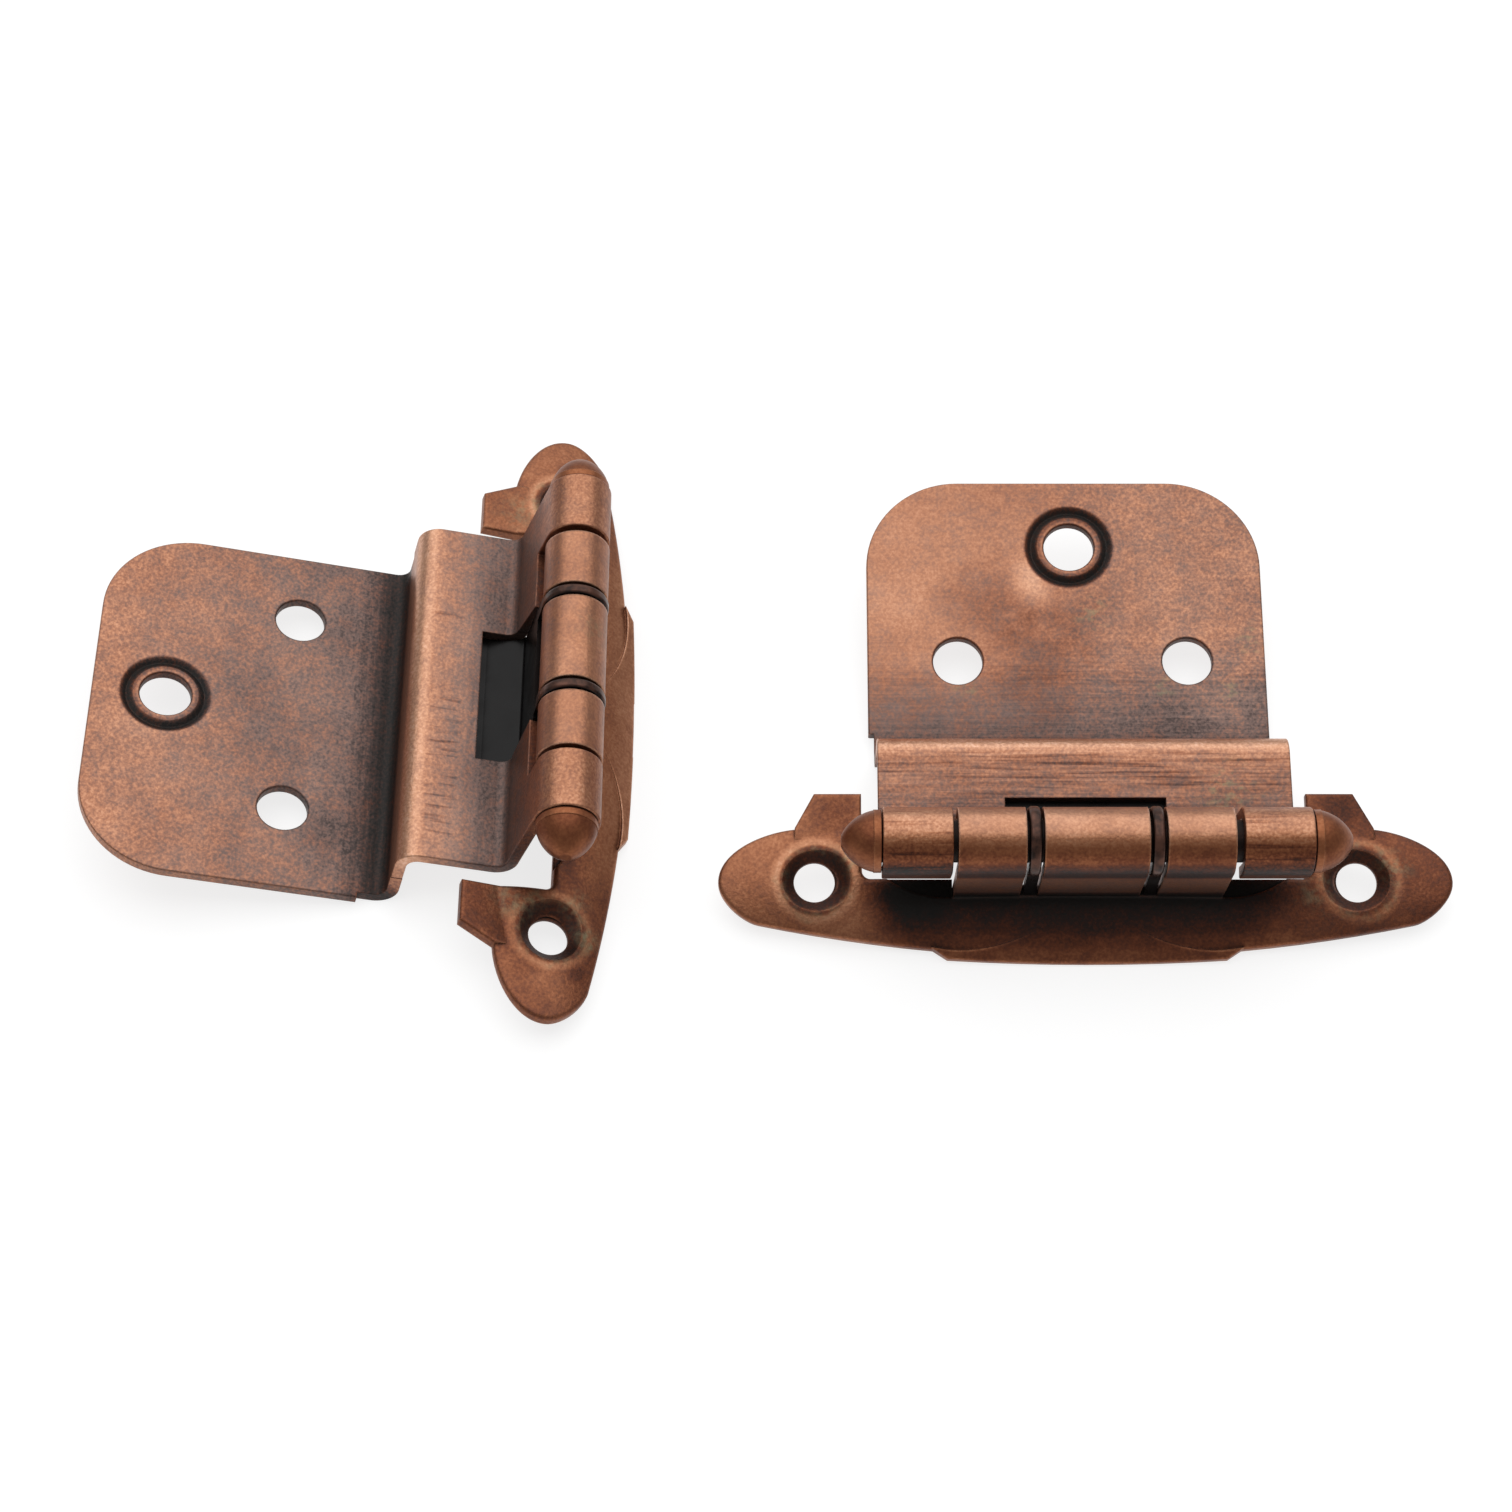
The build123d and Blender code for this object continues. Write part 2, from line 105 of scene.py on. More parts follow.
@dataclass(frozen=True)
class HingePlace:
    """Where one hinge lies: its pin's middle, its tilt about the pin and its turn on the table."""

    side: Side
    pin_middle: Vector
    tilt: float
    turn: float

    @classmethod
    def of_side(cls, side: Side) -> "HingePlace":
        """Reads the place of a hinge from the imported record.

        Args:
            side: The hinge.

        Returns:
            Its place. The tilt and the turn come from the direction that the door plate faces.
        """
        joint = next(j for j in frame["joints"] if j["name"].startswith(side.value))
        seat = next(m for m in frame["record"]["mounts"] if m["name"] == f"{side.value}_door_seat")
        east, north, up = seat["axis"]
        tilt = math.atan2(math.hypot(east, north), up)
        return cls(side, Vector(joint["pos_m"]), tilt, math.atan2(east, -north))


@dataclass(frozen=True)
class PlatedSteel:
    """Antique copper: steel plated with copper, blackened, and brushed back until the high places shine.

    The eye sees a pinkish copper on bends and rims, brown where less was brushed off, a violet grey film on
    the flats with copper specks in it, near black in the creases, and fine lines along the brushing. Where
    hands wore the film away, as on the barrel and the ears, the copper is redder and deeper.
    """

    warm: Colours = (
        (0.0, "#dbb097"), (0.15, "#c8977a"), (0.3, "#b07d62"), (0.45, "#96644d"), (0.6, "#754835"),
        (0.75, "#522f22"), (0.88, "#2f1d17"), (1.0, "#1b1916"),
    )
    film: Colours = (
        (0.0, "#d6b09c"), (0.2, "#b48e7b"), (0.4, "#967668"), (0.6, "#74605a"), (0.8, "#4a3e3b"),
        (1.0, "#1c1a19"),
    )
    copper: Colours = (
        (0.0, "#d6ab93"), (0.15, "#c39377"), (0.3, "#ac7656"), (0.45, "#90593b"), (0.6, "#6f3d27"),
        (0.75, "#4c2617"), (0.88, "#2b1711"), (1.0, "#171310"),
    )
    verdigris: str = "#857d62"
    polish: float = 0.36
    dullness: float = 0.52
    metal_until: float = 0.25
    metal_of_black: float = 0.6
    film_haze: float = 0.3
    film_specks: float = 0.25
    streak_height: float = 0.6
    relief: float = 0.2
    relief_mm: float = 0.03


@dataclass(frozen=True)
class SpringSteel:
    """Blue-black oxidised spring steel, rolled smooth, so it is nearly black with a soft gloss."""

    colour: str = "#121111"
    # Brown of the painted coppery reflection on the loops
    rubbed: str = "#5b3c30"
    roughness: float = 0.3
    metallic: float = 0.7


@dataclass(frozen=True)
class Backdrop:
    """Matt white paper that the hinges lie on."""

    colour: str = "#9a9a9a"
    lift: float = 0.78


@dataclass(frozen=True)
class Stain:
    """A soft round patch on a sheet, darker than its surroundings, or brighter if the amount is negative."""

    middle: tuple[float, float]
    radius: float
    amount: float


@dataclass(frozen=True)
class Coat:
    """How strongly each random pattern shows on a piece, in the darkness that it adds or takes.

    The blackening gathered in patches of about 2 and 7 mm. The specks of a real plating are finer than a
    picture of this size shows, so they are drawn 0.3 mm wide. Each pair says where a mark starts and where
    it is full: by the share of open space over a crease, by how far the surface leans down, and by the
    cosine of the turn at an edge.
    """

    clouds: float = 0.05
    haze: float = 0.05
    specks: float = 0.10
    brushing: float = 0.10
    # Edge brightening: partly wear, partly a painted highlight along rounded edges and crests
    edge_wear_and_highlight: float = 0.10
    relief: float = 1.0
    crease: float = 0.6
    crease_open: tuple[float, float] = (0.9, 0.2)
    crease_mm: float = 1.6
    underside: float = 0.1
    underside_lean: tuple[float, float] = (0.2, 0.7)
    edge_turn: tuple[float, float] = (0.995, 0.85)
    edge_mm: float = 0.2
    grit_mm: float = 0.3
    haze_mm: float = 1.7
    cloud_mm: float = 7.0
    ragged_mm: float = 2.5
    stain_wander: float = 0.25
    brush_length_mm: float = 8.0
    brush_width_mm: float = 0.28


@dataclass
class PlatingPainter:
    """Builds the material of one piece, in the frame of its hinge."""

    name: str
    place: HingePlace
    coat: Coat = field(default_factory=Coat)
    finish: PlatedSteel = field(default_factory=PlatedSteel)
    extra_tilt: float = 0.0
    seed: float = 0.0

    def start(self) -> None:
        """Makes the material and the coordinates that every pattern on it reads."""
        self.material = bpy.data.materials.new(self.name)
        self.material.use_nodes = True
        self.tree = self.material.node_tree
        self.tree.nodes.clear()
        coordinates = add_node(self.tree, "TexCoord").outputs
        turn = (self.place.tilt + self.extra_tilt, 0.0, self.place.turn)
        local = add_node(
            self.tree,
            "Mapping",
            {
                "Vector": coordinates["Object"],
                "Location": self.place.pin_middle,
                "Rotation": turn,
                "Scale": (MM, MM, MM),
            },
            vector_type="TEXTURE",
        )
        facing = add_node(
            self.tree, "Mapping", {"Vector": coordinates["Normal"], "Rotation": turn}, vector_type="TEXTURE"
        )
        self.spot = local.outputs["Vector"]
        self.facing = facing.outputs["Vector"]
        folded = add_node(self.tree, "VectorMath", {0: self.spot}, operation="ABSOLUTE")
        self.mirrored = folded.outputs["Vector"]

    def fill_ramp(self, ramp: Any, stops: list[tuple[float, tuple[float, ...]]]) -> None:
        """Sets the stops of a colour ramp.

        Args:
            ramp: The ramp's node.
            stops: Place from 0 to 1 and colour of each stop.
        """
        elements = ramp.color_ramp.elements
        while len(elements) < len(stops):
            elements.new(1.0)
        for element, (spot, colour) in zip(elements, stops):
            element.position = spot
            element.color = colour

    def read(self, place: Socket, stops: Stops) -> Socket:
        """Reads an amount that changes smoothly with a place.

        Args:
            place: Place in millimetres.
            stops: Amounts at some places, none of them below 0.

        Returns:
            The amount at that place.
        """
        low, high = stops[0][0], stops[-1][0]
        share = add_node(self.tree, "MapRange", {"Value": place, "From Min": low, "From Max": high})
        ramp = add_node(self.tree, "ValToRGB", {"Fac": share.outputs[0]})
        ramp.color_ramp.interpolation = "EASE"
        greys = [((spot - low) / (high - low), (amount, amount, amount, 1.0)) for spot, amount in stops]
        self.fill_ramp(ramp, greys)
        return ramp.outputs["Color"]

    def along(self, way: Way, stops: Stops, both_ends: bool = False) -> Socket:
        """Reads an amount that changes along one direction of the hinge.

        Args:
            way: The direction.
            stops: Amounts at some places.
            both_ends: Whether the hinge's two halves are alike, as mirror images.

        Returns:
            The amount at each point.
        """
        source = self.mirrored if both_ends else self.spot
        place = add_node(self.tree, "VectorMath", {0: source, 1: way.value}, operation="DOT_PRODUCT")
        return self.read(place.outputs["Value"], stops)

    def from_pin(self, stops: Stops) -> Socket:
        """Reads an amount that changes with the distance from the pin's line.

        Args:
            stops: Amounts at some distances.

        Returns:
            The amount at each point.
        """
        across = add_node(self.tree, "VectorMath", {0: self.spot, 1: (0.0, 1.0, 1.0)}, operation="MULTIPLY")
        away = add_node(self.tree, "VectorMath", {0: across.outputs["Vector"]}, operation="LENGTH")
        return self.read(away.outputs["Value"], stops)

    def round_about(self, middle: tuple[float, float], stops: Stops, ragged: float = 0.0) -> Socket:
        """Reads an amount that changes with the distance from an upright line, such as a hole's axis.

        Args:
            middle: X and Y of the line.
            stops: Amounts at some distances.
            ragged: How far the outline wanders, in millimetres.

        Returns:
            The amount at each point.
        """
        flat = add_node(self.tree, "VectorMath", {0: self.spot, 1: (1.0, 1.0, 0.0)}, operation="MULTIPLY")
        away = add_node(
            self.tree, "VectorMath", {0: flat.outputs["Vector"], 1: (*middle, 0.0)}, operation="DISTANCE"
        ).outputs["Value"]
        if ragged:
            away = self.marked(away, (self.cloud(self.coat.ragged_mm, 3.0), ragged))
        return self.read(away, stops)

    def cloud(
        self,
        size_mm: float,
        detail: float = 3.0,
        stretch: tuple[float, float, float] = (1, 1, 1),
        edges: tuple[float, float] = (0.3, 0.7),
        ends: tuple[float, float] = (-1.0, 1.0),
    ) -> Socket:
        """Makes random patches.

        Args:
            size_mm: Width of a patch.
            detail: How many finer levels the patches have.
            stretch: How many times longer a patch is along each direction.
            edges: Amounts of the noise between which a patch fades in.
            ends: Amounts outside and inside a patch.

        Returns:
            The amount at each point.
        """
        turned = add_node(
            self.tree,
            "Mapping",
            {
                "Vector": self.spot,
                "Location": (self.seed, 2 * self.seed, size_mm),
                "Scale": [1 / times for times in stretch],
            },
        )
        noise = add_node(
            self.tree,
            "TexNoise",
            {"Vector": turned.outputs["Vector"], "Scale": 1 / size_mm, "Detail": detail, "Roughness": 0.6},
        )
        share = add_node(
            self.tree,
            "MapRange",
            {
                "Value": noise.outputs["Fac"],
                "From Min": edges[0],
                "From Max": edges[1],
                "To Min": ends[0],
                "To Max": ends[1],
            },
        )
        return share.outputs[0]

    def marked(self, amount: Socket, *marks: tuple[Socket, Socket]) -> Socket:
        """Adds marks to an amount, one after another.

        Args:
            amount: The amount under the marks.
            marks: For each mark, where it is, from 0 to 1, and how much it adds there.

        Returns:
            The amount with its marks.
        """
        for mask, by in marks:
            links = {0: mask, 1: by, 2: amount}
            amount = add_node(self.tree, "Math", links, operation="MULTIPLY_ADD").outputs[0]
        return amount

    def covered(self, amount: Socket, *covers: tuple[Socket, Socket]) -> Socket:
        """Lays covers over an amount, one after another.

        Args:
            amount: The amount under the covers.
            covers: For each cover, where it lies, from 0 to 1, and its own amount.

        Returns:
            The amount with its covers.
        """
        for mask, cover in covers:
            links = {"Factor": mask, "A": amount, "B": cover}
            amount = add_node(self.tree, "Mix", links, data_type="FLOAT").outputs[0]
        return amount

    def tinted(self, colour: Socket, *tints: tuple[Socket, Socket]) -> Socket:
        """Lays other colours over a colour, one after another.

        Args:
            colour: The colour underneath.
            tints: For each tint, how much of it lies there, held between 0 and 1, and its colour.

        Returns:
            The colour with its tints.
        """
        for share, tint in tints:
            links = {"Factor": share, "A": colour, "B": tint}
            colour = add_node(self.tree, "Mix", links, data_type="RGBA", clamp_factor=True).outputs[2]
        return colour

    def stained(self, tone: Socket, stains: tuple[Stain, ...]) -> Socket:
        """Lays soft round patches on a darkness.

        Args:
            tone: The darkness.
            stains: The patches.

        Returns:
            The new darkness.
        """
        for stain in stains:
            wander = self.coat.stain_wander * stain.radius
            mask = self.round_about(stain.middle, ((0.0, 1.0), (stain.radius, 0.0)), wander)
            tone = self.marked(tone, (mask, stain.amount))
        return tone

    def gathered(self, spots: tuple[Stain, ...], ragged: float) -> Socket:
        """Adds up soft round patches of something.

        Args:
            spots: The patches.
            ragged: How far their outlines wander, in millimetres.

        Returns:
            The sum of their amounts.
        """
        amount: Socket = 0.0
        for spot in spots:
            near = self.round_about(spot.middle, ((0.0, spot.amount), (spot.radius, 0.0)), ragged)
            amount = self.marked(amount, (near, 1.0))
        return amount

    def weathered(self, tone: Socket, soft_edge: Socket, pattern: Socket, mottle: Socket) -> Socket:
        """Adds random patterns, dark creases, edges brightened partly by wear and partly by a painted
        highlight, and a darker underside to a painted darkness.

        Args:
            tone: The darkness that was painted.
            soft_edge: The way the surface faces, with its edges rounded.
            pattern: All random patterns together.
            mottle: How strongly they show.

        Returns:
            The darkness of the weathered plating.
        """
        coat = self.coat
        corners = add_node(
            self.tree, "AmbientOcclusion", {"Distance": coat.crease_mm * MM}, samples=RAYS, only_local=True
        )
        sharp = add_node(self.tree, "NewGeometry").outputs["Normal"]
        turned = add_node(self.tree, "VectorMath", {0: soft_edge, 1: sharp}, operation="DOT_PRODUCT")
        below = (0.0, 0.0, -1.0)
        down = add_node(self.tree, "VectorMath", {0: self.facing, 1: below}, operation="DOT_PRODUCT")
        shares = []
        for measure, (start, full), most in (
            (corners.outputs["AO"], coat.crease_open, coat.crease),
            (turned.outputs["Value"], coat.edge_turn, 1.0),
            (down.outputs["Value"], coat.underside_lean, 1.0),
        ):
            links = {"Value": measure, "From Min": start, "From Max": full, "To Max": most}
            shares.append(add_node(self.tree, "MapRange", links).outputs[0])
        # worn: rounded edges and crests brightened, partly by wear and partly as a painted highlight
        crease, worn, under = shares
        return self.marked(
            tone, (crease, 1.0), (pattern, mottle), (worn, -coat.edge_wear_and_highlight), (under, coat.underside)
        )

    def coloured(self, amount: Socket, violet: Socket, rubbed: Socket, green: Socket | None) -> Socket:
        """Turns the darkness of the plating into its colour.

        Args:
            amount: Darkness from 0, bare shining copper, to 1, black.
            violet: How grey the film on it is.
            rubbed: How far the film is rubbed away, down to the redder copper.
            green: How much verdigris lies on it, if there is any.

        Returns:
            The colour.
        """
        finish = self.finish
        ramps = []
        for stops in (finish.warm, finish.film, finish.copper):
            ramp = add_node(self.tree, "ValToRGB", {"Fac": amount})
            self.fill_ramp(ramp, [(spot, linear(colour)) for spot, colour in stops])
            ramps.append(ramp.outputs["Color"])
        warm, film, copper = ramps
        tints = [(violet, film), (rubbed, copper)]
        if green is not None:
            tints.append((green, linear(finish.verdigris)))
        return self.tinted(warm, *tints)

    def finish_off(
        self,
        tone: Socket,
        film: Socket,
        rubbed: Socket,
        mottle: Socket = 1.0,
        brushed: Socket = 0.0,
        green: Socket | None = None,
    ) -> bpy.types.Material:
        """Turns the painted darkness into the colour, gloss and fine relief of the plating.

        Args:
            tone: Darkness from 0, bare shining copper, to 1, black.
            film: How violet the plating is, from 0, copper brown, to 1, grey film.
            rubbed: How far the film is rubbed away, down to the redder copper.
            mottle: How strongly the patches show.
            brushed: How strongly the brushing lines show.
            green: How much verdigris lies on it, if there is any.

        Returns:
            The finished material.
        """
        coat, finish = self.coat, self.finish
        grit = self.cloud(coat.grit_mm, 1.0)
        haze = self.cloud(coat.haze_mm, 4.0)
        clouds = self.cloud(coat.cloud_mm, 4.0)
        length = coat.brush_length_mm / coat.brush_width_mm
        lines = self.cloud(coat.brush_width_mm, 2.0, (length, 1.0, 1.0))
        streaks = self.marked(0.0, (lines, brushed))
        pattern = self.marked(
            0.0, (clouds, coat.clouds), (haze, coat.haze), (grit, coat.specks), (streaks, coat.brushing)
        )
        bevel = add_node(self.tree, "Bevel", {"Radius": coat.edge_mm * MM}, samples=RAYS)
        soft_edge = bevel.outputs["Normal"]
        amount = self.weathered(tone, soft_edge, pattern, mottle)
        violet = self.marked(film, (haze, finish.film_haze), (grit, finish.film_specks))
        roughness = add_node(
            self.tree, "MapRange", {"Value": amount, "To Min": finish.polish, "To Max": finish.dullness}
        )
        metal = add_node(
            self.tree,
            "MapRange",
            {
                "Value": amount,
                "From Min": finish.metal_until,
                "To Min": 1.0,
                "To Max": finish.metal_of_black,
            },
        )
        bump = add_node(
            self.tree,
            "Bump",
            {
                "Height": self.marked(grit, (streaks, finish.streak_height)),
                "Strength": finish.relief * coat.relief,
                "Distance": finish.relief_mm * MM,
                "Normal": soft_edge,
            },
        )
        shader = add_node(
            self.tree,
            "BsdfPrincipled",
            {
                "Base Color": self.coloured(amount, violet, rubbed, green),
                "Metallic": metal.outputs[0],
                "Roughness": roughness.outputs[0],
                "Normal": bump.outputs["Normal"],
            },
        )
        add_node(self.tree, "OutputMaterial", {"Surface": shader.outputs["BSDF"]})
        return self.material


@dataclass(frozen=True)
class DoorTarnish:
    """Darkness of a door leaf's plating: down the sheet, and over the plate from end to end of the pin."""

    run: Stops
    film: Stops
    film_across: Stops
    mottle: Stops
    stains: tuple[Stain, ...]
    brushed: Stops
    seed: float
    across: Stops = ()
    green: tuple[Stain, ...] = ()
    scored: Stops = ()
    strokes: float = 0.0


DOOR_TARNISH = {
    Side.RIGHT: DoorTarnish(
        run=(
            (3.0, 0.55), (11.0, 0.60), (15.0, 0.56), (16.4, 0.50), (18.0, 0.45), (19.6, 0.41), (20.5, 0.30),
            (21.3, 0.15), (23.8, 0.12), (25.2, 0.40), (28.5, 0.66), (31.5, 0.70), (33.0, 0.62), (34.6, 0.55),
            (37.5, 0.49), (40.5, 0.38), (43.5, 0.34), (50.0, 0.34), (59.0, 0.36),
        ),
        film=(
            (3.0, 0.1), (15.0, 0.5), (18.0, 0.35), (20.0, 0.15), (22.0, 0.0), (30.0, 0.4), (33.0, 0.75),
            (36.0, 0.55), (39.0, 0.25), (43.0, 0.08), (59.0, 0.05),
        ),
        # On the right hinge the plate darkens a little toward its right end: painted shade where the sheen
        # from the panel fades
        across=((-20.0, 0.0), (-13.0, 0.0), (-3.0, 0.05), (4.0, 0.06), (11.0, 0.05), (19.0, 0.07)),
        film_across=((-20.0, 0.0), (-2.0, 0.05), (5.0, 0.3), (19.0, 0.35)),
        mottle=((-20.0, 0.6), (-4.0, 0.7), (4.0, 1.0), (19.0, 1.1)),
        stains=(
            # The first stain, a bright patch at the lower left of the pressed ring, is partly wear and
            # partly a painted highlight on its rounded rim
            Stain((-3.6, 32.6), 3.6, -0.24), Stain((-8.5, 30.0), 7.0, 0.14), Stain((-3.5, 25.5), 6.0, 0.10),
            Stain((1.0, 28.5), 5.0, 0.06), Stain((11.1, 24.1), 4.4, -0.10), Stain((-11.1, 24.1), 4.4, -0.06),
            Stain((-16.5, 31.0), 6.0, -0.05), Stain((15.0, 20.0), 5.0, -0.10),
            Stain((-17.6, 13.6), 0.9, 0.16),
        ),
        brushed=(
            (3.0, 0.0), (14.0, 1.0), (20.4, 1.0), (21.4, 0.1), (30.0, 0.5), (38.0, 0.7), (43.0, 0.2),
            (59.0, 0.2),
        ),
        seed=16.0,
        green=(
            Stain((-10.5, 21.0), 1.6, 0.8), Stain((8.6, 21.2), 1.8, 0.8), Stain((15.0, 21.0), 1.8, 0.8),
            Stain((17.6, 26.5), 2.4, 0.9), Stain((2.4, 29.0), 2.6, 0.8), Stain((13.5, 8.4), 4.2, 1.0),
        ),
        strokes=0.16,
    ),
    Side.LEFT: DoorTarnish(
        run=(
            (3.0, 0.55), (11.0, 0.60), (15.0, 0.66), (16.2, 0.56), (17.6, 0.45), (19.4, 0.40), (20.4, 0.33),
            (21.2, 0.20), (23.6, 0.14), (25.0, 0.30), (27.4, 0.46), (28.8, 0.78), (30.0, 0.91), (31.4, 0.90),
            (33.0, 0.74), (35.0, 0.60), (38.0, 0.53), (43.0, 0.50), (50.0, 0.43), (59.0, 0.38),
        ),
        film=(
            (3.0, 0.1), (15.0, 0.9), (17.6, 0.75), (19.6, 0.45), (21.0, 0.1), (27.0, 0.0), (30.0, 0.5),
            (34.0, 0.8), (42.0, 0.65), (50.0, 0.4), (59.0, 0.1),
        ),
        film_across=((-20.0, 0.0), (-6.0, 0.1), (4.0, 0.15), (20.0, 0.0)),
        mottle=((-20.0, 1.1), (20.0, 1.1)),
        stains=(
            Stain((-6.0, 26.0), 8.0, 0.05), Stain((3.0, 28.0), 7.0, 0.06), Stain((-13.0, 20.0), 5.0, 0.06),
            Stain((0.0, 36.0), 7.5, -0.06),
        ),
        brushed=(
            (3.0, 0.0), (14.0, 0.3), (20.4, 0.2), (21.4, 0.0), (27.0, 0.5), (32.0, 0.5), (38.0, 0.0),
            (59.0, 0.0),
        ),
        seed=15.0,
        scored=((-18.5, 0.0), (-16.0, 1.0), (-2.0, 1.0), (1.0, 0.0), (8.0, 0.0), (9.0, 0.8), (11.0, 0.0)),
    ),
}

# Darkness round the barrel, from its face side to its door side: painted shade on the lower face side and a
# painted highlight over the top
BARREL_SHADING = {
    Side.RIGHT: (
        (-3.1, 0.86), (-2.85, 0.72), (-2.5, 0.56), (-2.1, 0.57), (-1.5, 0.50), (-0.9, 0.37), (0.0, 0.28),
        (1.4, 0.24), (3.1, 0.32),
    ),
    Side.LEFT: ((-3.1, 0.46), (-2.0, 0.40), (0.0, 0.34), (1.6, 0.34), (3.1, 0.48)),
}

# How far the film is rubbed off round the barrel, from its face side to its door side
RUBBED = {
    Side.RIGHT: ((-3.1, 0.5), (-2.4, 1.0), (-0.9, 0.9), (0.4, 0.3), (3.1, 0.2)),
    Side.LEFT: ((-3.1, 0.5), (-1.0, 0.35), (3.1, 0.25)),
}


@dataclass
class DoorLeaf:
    """The folded sheet with the three-hole plate. Places are millimetres in the hinge's own frame."""

    place: HingePlace
    coat: Coat = field(default_factory=Coat)
    screw_x: float = 11.1
    screw_y: float = 24.1
    screw_radius: float = 2.4
    set_screw_y: float = 36.15
    set_screw_radius: float = 2.45
    groove_inner: float = 3.1
    groove_outer: float = 4.35
    plate_starts: Stops = ((31.0, 0.0), (34.0, 1.0))
    barrel_ends: Stops = ((3.3, 1.0), (3.9, 0.0))
    barrel_film: float = 0.1
    fold_mottle: float = 0.9
    hole_wall: float = 0.72
    score_depth: float = 0.22
    score_mm: float = 0.42
    drag_mm: float = 0.5
    crust_mm: float = 0.7

    def dress(self) -> None:
        """Plates the sheet: dark inside its folds, and worn bright on the fold that stands out."""
        side = self.place.side
        tarnish = DOOR_TARNISH[side]
        painter = PlatingPainter(
            f"{side.value}_door_leaf_plating", self.place, self.coat, seed=tarnish.seed
        )
        painter.start()
        plate = painter.along(Way.DOWN_THE_SHEET, self.plate_starts)
        barrel = painter.from_pin(self.barrel_ends)
        tone = painter.along(Way.DOWN_THE_SHEET, tarnish.run)
        # Darkening along the pin over the plate: painted shade where the sheen fades
        if tarnish.across:
            tone = painter.marked(tone, (plate, painter.along(Way.ALONG_PIN, tarnish.across)))
        tone = self.rim(painter, painter.stained(tone, tarnish.stains))
        # The barrel gets painted shade on its lower face side and a painted highlight over its top
        tone = painter.covered(tone, (barrel, painter.along(Way.ACROSS_THE_PIN, BARREL_SHADING[side])))
        if tarnish.scored:
            tone = painter.marked(tone, (self.scores(painter, tarnish.scored), self.score_depth))
        if tarnish.strokes:
            tone = painter.marked(tone, (self.drags(painter), tarnish.strokes))
        film = painter.along(Way.DOWN_THE_SHEET, tarnish.film)
        film = painter.marked(film, (plate, painter.along(Way.ALONG_PIN, tarnish.film_across)))
        film = painter.covered(film, (barrel, self.barrel_film))
        rubbed = painter.marked(0.0, (barrel, painter.along(Way.ACROSS_THE_PIN, RUBBED[side])))
        mottle = painter.covered(self.fold_mottle, (plate, painter.along(Way.ALONG_PIN, tarnish.mottle)))
        brushed = painter.along(Way.DOWN_THE_SHEET, tarnish.brushed)
        green = self.crusts(painter, tarnish.green) if tarnish.green else None
        material = painter.finish_off(tone, film, rubbed, mottle, brushed, green)
        paint(f"{side.value}_door_leaf", material)

    def rim(self, painter: PlatingPainter, tone: Socket) -> Socket:
        """Darkens the walls of the holes and the pressed ring, whose inner lip was brushed half clean.

        Args:
            painter: Painter of the sheet.
            tone: Darkness of the sheet.

        Returns:
            The new darkness.
        """
        hole = self.screw_radius
        for end in (-1, 1):
            wall = painter.round_about((end * self.screw_x, self.screw_y), ((hole, 1.0), (hole + 0.25, 0.0)))
            tone = painter.covered(tone, (wall, self.hole_wall))
        middle = (0.0, self.set_screw_y)
        lip, inner, outer = self.set_screw_radius, self.groove_inner, self.groove_outer
        pressed = painter.round_about(
            middle,
            (
                (lip, 0.75), (lip + 0.2, 0.42), (inner - 0.1, 0.6), (inner + 0.35, 0.9),
                (outer - 0.45, 0.88), (outer, 0.62),
            ),
        )
        inside = painter.round_about(middle, ((outer - 0.15, 1.0), (outer + 0.2, 0.0)))
        return painter.covered(tone, (inside, pressed))

    def scores(self, painter: PlatingPainter, scored: Stops) -> Socket:
        """Draws the short score marks that the bending tool left across the strip.

        Args:
            painter: Painter of the sheet.
            scored: Where along the pin the marks are.

        Returns:
            Where the marks are, from 0 to 1.
        """
        marks = painter.cloud(self.score_mm, 1.0, (1.0, 9.0, 9.0), edges=(0.5, 0.72), ends=(0.0, 1.0))
        band = painter.along(Way.DOWN_THE_SHEET, ((17.2, 0.0), (18.0, 1.0), (20.2, 1.0), (20.8, 0.0)))
        where = painter.marked(0.0, (band, painter.along(Way.ALONG_PIN, scored)))
        return painter.marked(0.0, (marks, where))

    def drags(self, painter: PlatingPainter) -> Socket:
        """Draws the few long dark strokes that the brush dragged along the strip.

        Args:
            painter: Painter of the sheet.

        Returns:
            Where the strokes are, from 0 to 1.
        """
        strokes = painter.cloud(self.drag_mm, 2.0, (22.0, 1.0, 1.0), edges=(0.52, 0.66), ends=(0.0, 1.0))
        band = painter.along(Way.DOWN_THE_SHEET, ((14.0, 1.0), (20.2, 1.0), (21.0, 0.1), (22.0, 0.0)))
        return painter.marked(0.0, (strokes, band))

    def crusts(self, painter: PlatingPainter, spots: tuple[Stain, ...]) -> Socket:
        """Gathers specks of verdigris at a few places.

        Args:
            painter: Painter of the sheet.
            spots: The places.

        Returns:
            Amount of verdigris.
        """
        specks = painter.cloud(self.crust_mm, 3.0, (1.6, 1.0, 1.0), edges=(0.5, 0.66), ends=(0.0, 0.75))
        return painter.marked(0.0, (specks, painter.gathered(spots, 0.4)))


@dataclass(frozen=True)
class FrameTarnish:
    """Darkness of a frame leaf's plating: over the face and up the tongue, and on the ears."""

    run: Stops
    film: Stops
    ears: Stops
    stains: tuple[Stain, ...]
    green: tuple[Stain, ...]


